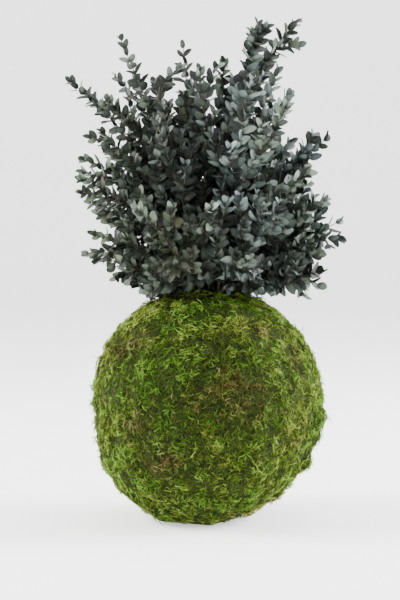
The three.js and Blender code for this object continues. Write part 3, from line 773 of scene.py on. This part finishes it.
# Each spray: where its last leaf ends, how much further than straight its last stretch leans in
# degrees, and its main twig's share of the way up, turn out of the upright plane and length
SPRAYS = {
    # the left of the fan, from the lowest up
    "left_droop": (-0.057, -0.046, 0.217, 38, 0.60, -40, 0.024),
    "left_lowest": (-0.093, -0.014, 0.240, 26, 0.55, 60, 0.026),
    "left_low": (-0.120, 0.016, 0.253, 12, 0.50, -60, 0.024),
    "left_low_front": (-0.110, -0.040, 0.274, 10, 0.55, 30, 0.032),
    "left_low_back": (-0.110, 0.048, 0.291, 16, 0.50, 20, 0.036),
    "left_mid": (-0.116, -0.012, 0.303, 22, 0.55, -30, 0.038),
    "left_mid_front": (-0.122, -0.048, 0.326, 20, 0.60, 50, 0.034),
    "left_long": (-0.123, 0.014, 0.344, 26, 0.50, -45, 0.044),
    "left_high_front": (-0.113, -0.044, 0.364, 30, 0.55, -35, 0.040),
    "left_high_back": (-0.101, 0.066, 0.352, 16, 0.50, -30, 0.040),
    "left_far": (-0.1355, 0.034, 0.419, 18, 0.62, -18, 0.036),
    "left_upper": (-0.099, -0.036, 0.3955, 26, 0.60, -30, 0.042),
    "left_upper_back": (-0.093, 0.058, 0.425, 24, 0.60, 30, 0.026),
    "left_spire": (-0.083, -0.022, 0.4575, 3, 0.50, -35, 0.046),
    "left_inner": (-0.0515, -0.052, 0.4155, 4, 0.60, 60, 0.040),
    # the middle
    "middle_spire": (-0.0245, 0.038, 0.454, 0, 0.62, -60, 0.032),
    "middle_front": (-0.0075, -0.050, 0.429, 4, 0.60, 80, 0.040),
    "middle_back": (0.0155, 0.062, 0.4395, 3, 0.60, -70, 0.044),
    # the right of the fan, from the highest down
    "right_crest": (0.0475, -0.018, 0.4715, 2, 0.66, -40, 0.027),
    "right_spire": (0.0855, 0.020, 0.4735, 27, 0.70, 40, 0.042),
    "right_upper_back": (0.069, 0.062, 0.431, 4, 0.60, -40, 0.042),
    "right_upper": (0.077, -0.006, 0.4055, 12, 0.60, 50, 0.034),
    "right_high_front": (0.073, -0.058, 0.3935, 4, 0.55, 30, 0.042),
    "right_high_back": (0.082, 0.056, 0.360, 10, 0.50, 30, 0.042),
    "right_long": (0.113, 0.002, 0.364, 6, 0.55, -45, 0.044),
    "right_mid_front": (0.094, -0.044, 0.331, 14, 0.55, -30, 0.038),
    "right_mid_back": (0.099, 0.040, 0.318, 10, 0.50, 45, 0.040),
    "right_mid": (0.112, -0.012, 0.306, 4, 0.50, -40, 0.040),
    "right_far": (0.127, 0.014, 0.284, 0, 0.55, 35, 0.040),
    "right_low_front": (0.114, -0.034, 0.262, 8, 0.50, -60, 0.034),
    "right_low_back": (0.104, 0.040, 0.250, 12, 0.50, 50, 0.034),
    "right_lowest": (0.109, -0.008, 0.2225, 22, 0.50, -50, 0.030),
    "right_droop": (0.091, -0.036, 0.222, 42, 0.60, 40, 0.024),
    # towards the viewer
    "front_low_left": (-0.034, -0.094, 0.248, 4, 0.50, 40, 0.032),
    "front_low_right": (0.038, -0.092, 0.252, 4, 0.50, -40, 0.032),
    "front_mid_left": (-0.066, -0.088, 0.300, -4, 0.50, 50, 0.036),
    "front_mid": (0.002, -0.100, 0.302, -10, 0.50, -50, 0.036),
    "front_mid_right": (0.066, -0.086, 0.304, -4, 0.50, 50, 0.036),
    "front_high_left": (-0.048, -0.072, 0.382, -4, 0.55, -40, 0.040),
    "front_high_right": (0.034, -0.074, 0.390, -4, 0.55, 40, 0.040),
    # away from the viewer
    "back_low_left": (-0.052, 0.092, 0.252, 24, 0.50, -40, 0.032),
    "back_low_right": (0.050, 0.094, 0.246, 24, 0.50, 40, 0.032),
    "back_mid_left": (-0.066, 0.096, 0.310, 18, 0.50, -50, 0.038),
    "back_mid": (0.000, 0.110, 0.294, 20, 0.50, 50, 0.038),
    "back_mid_right": (0.064, 0.094, 0.312, 18, 0.50, -50, 0.038),
    "back_high_left": (-0.050, 0.076, 0.398, 14, 0.55, 40, 0.042),
    "back_high_right": (0.036, 0.078, 0.408, 14, 0.55, -40, 0.042),
}


def draw(row, column):
    """Numbers from 0 to 1 that depend only on the two arguments: the fraction of a large sine."""
    scattered = np.sin(row * 12.9898 + column * 78.233) * 43758.5453
    return scattered - np.floor(scattered)


def heading(azimuth, lean):
    """The direction at an azimuth, leaning that far from upright."""
    aside = math.sin(lean)
    return np.array([aside * math.cos(azimuth), aside * math.sin(azimuth), math.cos(lean)])


def turned(vectors, axes, angles):
    """Vectors at right angles to unit axes, turned about them: v cos(angle) + (axis x v) sin(angle)."""
    return vectors * np.cos(angles)[..., None] + np.cross(axes, vectors) * np.sin(angles)[..., None]


def bezier(controls, run):
    """Points of a Bezier curve: its controls blended in pairs, (1 - run) of one and run of the next,
    again and again until one is left."""
    level = np.asarray(controls)[:, None]
    while len(level) > 1:
        level = level[:-1] * (1 - run)[:, None] + level[1:] * run[:, None]
    return level[0]


def grown(path, share):
    """Points at shares of a path's length, its direction there, and its length. A path is the controls
    of a Bezier curve, its side, a phase and a wobble: it wanders from the curve to its side and over it
    by two sine waves that are nothing at its ends."""
    controls, side, phase, wobble = path
    fine = np.linspace(0, 1, 161)
    steps = np.linalg.norm(np.diff(bezier(controls, fine), axis=0), axis=1)
    measured = np.concatenate([[0], np.cumsum(steps)])

    def at(where):
        run = np.interp(where * measured[-1], measured, fine)
        wander = wobble * np.sin(math.pi * where)
        first = np.sin(9 * where + phase) * wander
        second = np.sin(7 * where + 2 * phase) * wander
        over = unit(np.cross(side, controls[-1] - controls[0]))
        return bezier(controls, run) + side * first[:, None] + over * second[:, None]

    direction = unit(at(np.minimum(share + 0.01, 1)) - at(np.maximum(share - 0.01, 0)))
    return at(share), direction, measured[-1]


def stem_path(tip, bend, phase):
    """A stem from the crown to just short of its tip. Stems that lean far stand near the mouth's edge,
    and upright ones in the middle."""
    reach = np.array(tip) - (0, 0, CROWN_TOP)
    azimuth = math.atan2(reach[1], reach[0])
    lean = math.acos(reach[2] / np.linalg.norm(reach))
    arriving = heading(azimuth, lean + math.radians(bend))
    end = tip - arriving * LEAF_PAST_TIP
    ring = STEM_RING * min(1, lean / math.radians(RIM_LEAN)) ** 0.9
    height = CROWN_TOP + FOOT_RISE - (CROWN_TOP - CROWN_EDGE) * (ring / MOUTH_RADIUS) ** 2
    foot = np.array([math.cos(azimuth) * ring, math.sin(azimuth) * ring, height])
    rising = heading(azimuth, lean * SET_LEAN)
    length = np.linalg.norm(end - foot)
    controls = np.array([foot, foot + rising * 0.3 * length, end - arriving * 0.35 * length, end])
    side = np.array([-math.sin(azimuth), math.cos(azimuth), 0])
    return controls, side, phase, STEM_WOBBLE


def twig_path(stem, share, turn, length, angle, rise, phase):
    """A side twig, which leaves its stem at an angle, rises along it by `rise` of its length and, if
    that is more than nothing, turns up to the light. Its turn is about the stem, from the upright
    plane."""
    start, along, _ = grown(stem, np.array([share]))
    start, along = start[0], along[0]
    upward = unit(np.array([0, 0, 1]) - along * along[2])
    outward = turned(upward, along, np.radians(turn))
    leaving = along * math.cos(angle) + outward * math.sin(angle)
    end = start + leaving * length + along * length * rise
    if rise > 0:
        end[2] += UPTURN * length
    controls = np.array([start, start + leaving * length * 0.5, end])
    return controls, np.cross(along, outward), phase, STEM_WOBBLE / 2


def twig_to(stem, share, tip, phase):
    """A side twig that ends at a tip, and leaves its stem halfway between the stem's way and the tip's."""
    start, along, _ = grown(stem, np.array([share]))
    start, along = start[0], along[0]
    reach = tip - start
    leaving = unit(along + unit(reach))
    controls = np.array([start, start + leaving * np.linalg.norm(reach) * 0.5, tip])
    return controls, unit(np.cross(along, reach)), phase, STEM_WOBBLE / 2


def rod(path, steps, start_radius, end_radius, sunk):
    """A tapered round rod along a path, `sunk` longer at its start, and its points' shares of the way.
    Its rings stand across the path."""
    share = np.linspace(0, 1, steps + 1)
    middle, along, _ = grown(path, share)
    middle = np.concatenate([middle[:1] - along[:1] * sunk, middle])
    along = np.concatenate([along[:1], along])
    side = square_to(along, path[1])
    turn = np.linspace(0, 2 * math.pi, STEM_SIDES, endpoint=False)
    share = np.append(0, share)
    radius = start_radius + (end_radius - start_radius) * share
    points = (middle[:, None] + rings(side, np.cross(along, side), turn, radius)).reshape(-1, 3)
    ends = np.stack([middle[0], middle[-1] + along[-1] * end_radius])
    shares = np.append(np.repeat(share, STEM_SIDES), [0, 1])
    return np.concatenate([points, ends]), grid_skin(steps + 2, STEM_SIDES), shares


def leaf_places(path, bare, crowding, seed):
    """Where a path's leaves stand, in opposite pairs from its tip down to its bare length, each pair a
    quarter turned from the next. Pair n stands the path's own spacing x (n - 3 x crowding x
    (1 - exp(-n / 3))) below the tip. Leaves are smaller and less open near a tip, and larger on the
    right and low down. They half keep the face that their pair has, and half turn it out of the bunch,
    each by a random part. Gives, for each leaf, its root, the way that it runs, the way that it faces,
    its length, and its age from 0 to 1."""
    length = grown(path, np.array([0.5]))[2]
    pair = np.arange(60)
    spacing = PAIR_SPACING * (0.84 + 0.34 * draw(seed, 70))
    down = spacing * (pair - 3 * crowding * (1 - np.exp(-pair / 3)))
    pair = pair[down < length - bare]
    share = 1 - down[pair] / length
    stand, along, _ = grown(path, share)
    stand, along, share = (np.repeat(values, 2, axis=0) for values in (stand, along, share))
    side = np.tile([0, 1], len(pair))
    pair = np.repeat(pair, 2)
    age = np.minimum(1, (pair + 1.5) / 6)
    start = unit(np.cross((0.31, 0.17, 1), along))
    turn = np.radians(pair * 90 + side * 180 + 34 * (draw(seed + 7, pair * 2 + side) - 0.5))
    outward = turned(start, along, turn)
    hinge = np.cross(along, outward)
    opening = np.radians(LEAF_OPENING + LEAF_OPENING * age + 18 * (draw(seed, pair) - 0.5))
    run = turned(along, hinge, opening)
    size = LEAF_LENGTH * (0.68 + 0.32 * age) * (0.84 + 0.32 * draw(seed + 3, pair * 2 + side))
    size = size * np.clip(1.07 + 1.0 * stand[:, 0] - 0.5 * (stand[:, 2] - 0.28), 0.94, 1.22)
    face = np.cross(run, hinge)
    stray = np.random.default_rng(int(seed * 100)).normal(0, 1.0, face.shape)
    outside = unit((stand - BUSH_MIDDLE) * OUTWARD) + stray
    face = face * 0.6 + outside * LEAF_TURN
    return stand - along * ROOT_SINK, run, square_to(run, face), size, age


def leaves(root, run, face, size, seed):
    """Closed thin leaves. Along a leaf it goes `size` far, bends back by droop x share^2 of that and
    swings aside by swing x share^2; across it, from -1 to 1, the half width is LEAF_OUTLINE's and the two
    halves rise from the midrib by fold x 1.5 x (|across| - across^2 / 3). Four points go round it at each
    of LEAF_STATIONS, three on the face and one under the midrib, then one at each end. Gives the points,
    faces and shares along and across."""
    count = len(root)
    rng = np.random.default_rng(seed)
    roll = rng.normal(0, 0.22, count)
    across = np.cross(face, run)
    across, face = turned(across, run, roll), turned(face, run, roll)
    fold = LEAF_FOLD * rng.uniform(0.3, 1.5, count)[:, None, None]
    droop = rng.uniform(-0.12, 0.26, count)[:, None, None]
    swing = rng.normal(0, 0.05, count)[:, None, None]
    wide = (0.5 * LEAF_WIDTH * rng.uniform(0.88, 1.12, count))[:, None, None]

    share = np.concatenate([LEAF_STATIONS, [0, 1]])
    half = np.concatenate([LEAF_OUTLINE, [0, 0]])
    cross = np.array([1, 0, -1, 0])
    share, edge = np.meshgrid(share, cross, indexing="ij")
    half = half[:, None] * wide
    height = fold * half * (np.abs(edge) - edge**2 / 3) * 1.5 - droop * share**2
    under = np.where(np.arange(4) == 3, LEAF_THICKNESS, 0) * (half > 0)
    sideways = edge * half + swing * share**2
    size = size[:, None, None]
    points = (
        root[:, None, None]
        + run[:, None, None] * (size * share)[..., None]
        + across[:, None, None] * (size * sideways)[..., None]
        + face[:, None, None] * (size * height - under)[..., None]
    ).reshape(count, -1, 3)
    rings = 4 * len(LEAF_STATIONS)
    kept = np.append(np.arange(rings), [rings, rings + 4])
    walls, ends = grid_skin(len(LEAF_STATIONS), 4)
    first = len(kept) * np.arange(count)[:, None, None]
    faces = [(walls + first).reshape(-1, 4), (ends + first).reshape(-1, 3)]
    return points[:, kept].reshape(-1, 3), faces, share.ravel()[kept], edge.ravel()[kept]


def stem_finish():
    """Stems by their stored tint: X goes from the woody foot, 0, to the green tip, 1."""
    finish, tree, shader = material("eucalyptus_stem", 0.6)
    bark = mottled(tree, ramp(tree, stored(tree, "tint")["X"], STEM_COLORS), 520, 0.6)
    feed(tree, shader["Base Color"], bark["Color"])
    bumped(tree, bark["Height"], 0.0003, shader)
    return finish


def leaf_finish():
    """Leaves by their stored tint: X is how light, with painted shade in it, Y how blue and Z how
    withered.
    Their UV map runs along the leaf in X, and across it in Y with the midrib at a half. The side veins
    stand where SIDE_VEINS x (X - 0.9 x |Y - 0.5|) is whole. The blade is darker at its foot and margin,
    which is painted shade, at the foot standing for the stalk's darker colour too."""
    finish, tree, shader = material("eucalyptus_leaf", 0.5)
    shader["Specular IOR Level"].default_value = 0.3
    tint = stored(tree, "tint")
    green, blue = (ramp(tree, tint["X"], colors) for colors in (GREEN_COLORS, BLUE_COLORS))
    blade = mottled(tree, blended(tree, tint["Y"], green, blue), 330, 0.45)
    run = node(tree, "SeparateXYZ", {0: node(tree, "UVMap", uv_map=LEAF_MAP).outputs["UV"]}).outputs
    aside = worked(tree, "ABSOLUTE", worked(tree, "SUBTRACT", run["Y"], 0.5))
    slant = worked(tree, "MULTIPLY_ADD", aside, -0.9, run["X"])
    vein = ramp(tree, worked(tree, "FRACT", worked(tree, "MULTIPLY", slant, SIDE_VEINS)), VEIN_SHADES)
    rib = ramp(tree, aside, [(0.02, 1, 1, 1), (0.06, 0, 0, 0)])
    ribs = worked(tree, "MAXIMUM", rib, vein)
    # Painted shade darkens the blade's foot, where it also stands for the stalk's colour
    foot = ramp(tree, run["X"], [(0.05, 0.9, 0.9, 0.9), (0.5, 0, 0, 0)])
    # Painted shade along the blade's margin
    margin_shade = ramp(tree, aside, [(0.32, 0, 0, 0), (0.5, 0.72, 0.72, 0.72)])
    color = blended(tree, worked(tree, "MULTIPLY", ribs, 0.35), blade["Color"], VEIN_COLOR)
    color = blended(tree, tint["Z"], color, WITHERED_COLOR)
    for shade in (foot, margin_shade):
        color = blended(tree, shade, color, BLADE_SHADE_COLOR)
    feed(tree, shader["Base Color"], color)
    bumped(tree, ribs, -0.00025, shader)
    return finish


SPRAY_FINISHES = [stem_finish(), leaf_finish()]


def leaf_tint_and_shade(root, age, seed):
    """The tint of leaves by where they stand: darker inside the bunch, at its rim and in its topmost tips,
    which is painted shade, lighter at the left and when young, bluer to the right and greener to the left,
    in two wave fields. The patches of painted light and shade, painted shadow on SHADOWED_LEAVES of them
    and a random part for each leaf are added. An olive patch shows low at the front, and one leaf in forty
    has begun to wither."""
    rng = np.random.default_rng(seed)
    count = len(root)
    x, y, z = root.T
    risen = np.clip(z - 0.22, 0, 0.15)
    # Painted shade inside the bunch
    inner = np.clip(1.15 - np.hypot(x + 0.025, y) / (0.050 + 0.20 * risen), 0, 1)
    inner = inner * np.clip((0.46 - z) / 0.10, 0, 1)
    # Painted shade at the bunch's rim
    outer = np.clip(np.hypot(x, y) / (0.075 + 0.30 * risen) - 0.8, 0, 0.5)
    light = 0.79 + 0.10 * wave_field(root, 61, 0.07, 12) + 0.14 * wave_field(root, 63, 0.022, 16)
    light = light + 0.06 * (1 - age) - 0.52 * inner - 0.5 * outer
    # A random tone for each leaf, and painted shadow on a share of them
    light = light + rng.normal(0, 0.30, count) - 0.58 * (rng.random(count) < SHADOWED_LEAVES)
    # Painted shade in the topmost tips; lighter at the far left
    light = light - 4.4 * np.maximum(0, z - 0.385) + 1.2 * np.clip(-0.05 - x, 0, 0.06)
    # Patches of painted light and shade
    for place, width, lighter in LEAF_LIGHT_AND_SHADE_PATCHES:
        light = light + lighter * near(root, place, width)
    blue = 0.55 + 2.6 * x + 0.22 * wave_field(root, 62, 0.11, 12) + rng.normal(0, 0.14, count)
    withered = np.where(rng.random(count) < WITHERED_LEAVES, rng.uniform(0.3, 0.8, count), 0)
    blue = blue + 0.4 * near(root, *LEAF_LIGHT_AND_SHADE_PATCHES[0][:2])
    withered = np.maximum(withered, 0.45 * near(root, *OLIVE_PATCH))
    return np.clip(np.stack([light, blue, withered], -1), 0, 1)


def spray_piece(spray, k):
    """The k-th spray: its stem and twigs as rods, and the leaves along each. Each lesser twig leaves
    near its share of the stem, on the side away from the main twig and by turns left and right of that."""
    *tip, bend, share, turn, length = SPRAYS[spray]
    stem = stem_path(tip, bend, 1.7 * k)
    twigs = [twig_path(stem, share, turn, length, TWIG_ANGLE, TWIG_RISE, 2.3 * k)]
    for j, (share, length, angle, rise) in enumerate(LESSER_TWIGS):
        if spray in NO_TWIGS.get(j, ()):
            continue
        share = share + TWIG_STRAY * (draw(k, j + 20) - 0.5)
        turn = 180 + TWIG_FAN * (-1) ** j * min(1, j / 2) + TWIG_FAN * (draw(k, j + 30) - 0.5)
        length = length * (0.8 + 0.5 * draw(k, j + 40))
        twigs.append(twig_path(stem, share, turn, length, angle, rise, 2.9 * k + j))
    for j, (share, *end) in enumerate(MORE_TWIGS.get(spray, [])):
        twigs.append(twig_to(stem, share, end, 1.9 * k + j))
    rods = [rod(stem, STEM_STEPS, STEM_RADIUS, STEM_TIP_RADIUS, SET_DEPTH)]
    rods += [rod(twig, TWIG_STEPS, TWIG_RADIUS, STEM_TIP_RADIUS, 0) for twig in twigs]
    crowding = OPEN_CROWDING if spray in OPEN_TOPS else TIP_CROWDING
    places = [leaf_places(stem, BARE_LENGTH, crowding, 10 * k + 1)]
    for j, twig in enumerate(twigs):
        places.append(leaf_places(twig, TWIG_BARE, TIP_CROWDING, 10 * k + 6 + 0.37 * j))
    root, run, face, size, age = (np.concatenate(values) for values in zip(*places))
    blades, blade_faces, along, edge = leaves(root, run, face, size, 100 + k)

    starts = np.cumsum([0] + [len(points) for points, _, _ in rods])
    faces = [group + start for (_, groups, _), start in zip(rods, starts) for group in groups]
    finish = [0] * sum(len(group) for group in faces)
    faces += [group + starts[-1] for group in blade_faces]
    finish += [1] * sum(len(group) for group in blade_faces)
    points = np.concatenate([points for points, _, _ in rods] + [blades])
    piece = mesh_piece(f"eucalyptus_{spray}", points, faces, SPRAY_FINISHES)
    piece.data.polygons.foreach_set("material_index", finish)
    piece.data.set_sharp_from_angle(angle=math.radians(75))

    bark = np.concatenate([shares for _, _, shares in rods])
    bark = np.stack(np.broadcast_arrays(bark, 0.5, 0), -1)
    tint = np.repeat(leaf_tint_and_shade(root, age, 200 + k), len(along), axis=0)
    set_point_vectors(piece, "tint", np.concatenate([bark, tint]))
    blade_map = np.tile(np.stack([along, 0.5 + 0.5 * edge], -1), (len(root), 1))
    flat_map = np.concatenate([np.zeros((len(bark), 2)), blade_map]).astype(np.float32)
    corners = np.empty(len(piece.data.loops), np.int32)
    piece.data.loops.foreach_get("vertex_index", corners)
    leaf_map = piece.data.uv_layers.new(name=LEAF_MAP)
    leaf_map.data.foreach_set("uv", flat_map[corners].ravel())
    return piece


for k, spray in enumerate(SPRAYS):
    eucalyptus = spray_piece(spray, k)
    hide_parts(f"spray_{spray}")
    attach(eucalyptus, "root")


# Studio
# A wide round bowl of pale paper, whose flat floor turns up into a wall all round the plant, with big
# soft lights high on the left, on the right and above, all inside it.

CAMERA_TARGET = (-0.0078, 0, 0.2088)
CAMERA_DISTANCE = 2.0
CAMERA_RISE = 4  # degrees
FRAME_HEIGHT = 0.569  # what the picture shows from top to bottom, at the plant
SENSOR_HEIGHT = 24
PAPER_FLOOR = 3.0  # how far the floor reaches before it turns up
PAPER_CURVE = 1.2
PAPER_TOP = 4.0
PAPER_SIDES = 96
PAPER_GLOW = 0.7
AIR_GLOW = 0.5


def paper():
    """The paper's grid: its profile is a floor, a quarter circle and a wall, carried round the plant."""
    turn = np.linspace(0, math.pi / 2, 24)
    reach = np.concatenate([PAPER_FLOOR + PAPER_CURVE * np.sin(turn), [PAPER_FLOOR + PAPER_CURVE]])
    height = np.concatenate([PAPER_CURVE * (1 - np.cos(turn)), [PAPER_TOP]]) - 0.0002
    around = np.linspace(0, 2 * math.pi, PAPER_SIDES, endpoint=False)[:, None]
    points = np.concatenate([polar(reach, around, height).reshape(-1, 3), [(0, 0, height[0])]])
    side, row = np.meshgrid(np.arange(PAPER_SIDES), np.arange(len(height) - 1), indexing="ij")
    here = side * len(height) + row
    beside = (side + 1) % PAPER_SIDES * len(height) + row
    walls = np.stack([here, here + 1, beside + 1, beside], -1).reshape(-1, 4)
    hub = np.full(PAPER_SIDES, len(points) - 1)
    return points, [walls, np.stack([hub, here[:, 0], beside[:, 0]], -1)]


paper_finish, tree, shader = material("paper", 0.9)
feed(tree, shader["Base Color"], mottled(tree, (0.90, 0.90, 0.895, 1), 3, 0.02)["Color"])
shader["Emission Color"].default_value = (1, 1, 1, 1)
shader["Emission Strength"].default_value = PAPER_GLOW
mesh_piece("paper_sweep", *paper(), [paper_finish])


def soft_light(name, place, aim_height, size, power, color):
    """A square area light at a place, turned towards the plant's middle at a height, of a size in metres
    and a power in watts."""
    lamp = bpy.data.lights.new(name, "AREA")
    lamp.size = size
    lamp.energy = power
    lamp.color = color
    light = bpy.data.objects.new(name, lamp)
    light.location = place
    light.rotation_euler = (Vector((0, 0, aim_height)) - Vector(place)).to_track_quat("-Z", "Y").to_euler()
    bpy.context.scene.collection.objects.link(light)


soft_light("key", (-1.7, -0.1, 1.2), 0.20, 1.1, 108, (1, 0.99, 0.96))
soft_light("fill", (1.75, 0.2, 0.8), 0.16, 1.2, 136, (0.98, 0.99, 1))
soft_light("top", (0.1, 0.3, 2.0), 0.22, 1.4, 30, (1, 1, 1))

world = bpy.data.worlds.new("studio_air")
world.use_nodes = True
air = world.node_tree.nodes["Background"]
air.inputs["Color"].default_value = (1, 1, 1, 1)
air.inputs["Strength"].default_value = AIR_GLOW
bpy.context.scene.world = world

camera = bpy.data.objects.new("camera", bpy.data.cameras.new("camera"))
rise = math.radians(CAMERA_RISE)
back_off = Vector((0, -math.cos(rise), math.sin(rise))) * CAMERA_DISTANCE
camera.location = Vector(CAMERA_TARGET) + back_off
camera.rotation_euler = (-back_off).to_track_quat("-Z", "Y").to_euler()
camera.data.sensor_fit = "VERTICAL"
camera.data.sensor_height = SENSOR_HEIGHT
camera.data.lens = SENSOR_HEIGHT * CAMERA_DISTANCE / FRAME_HEIGHT
bpy.context.scene.collection.objects.link(camera)
bpy.context.scene.camera = camera
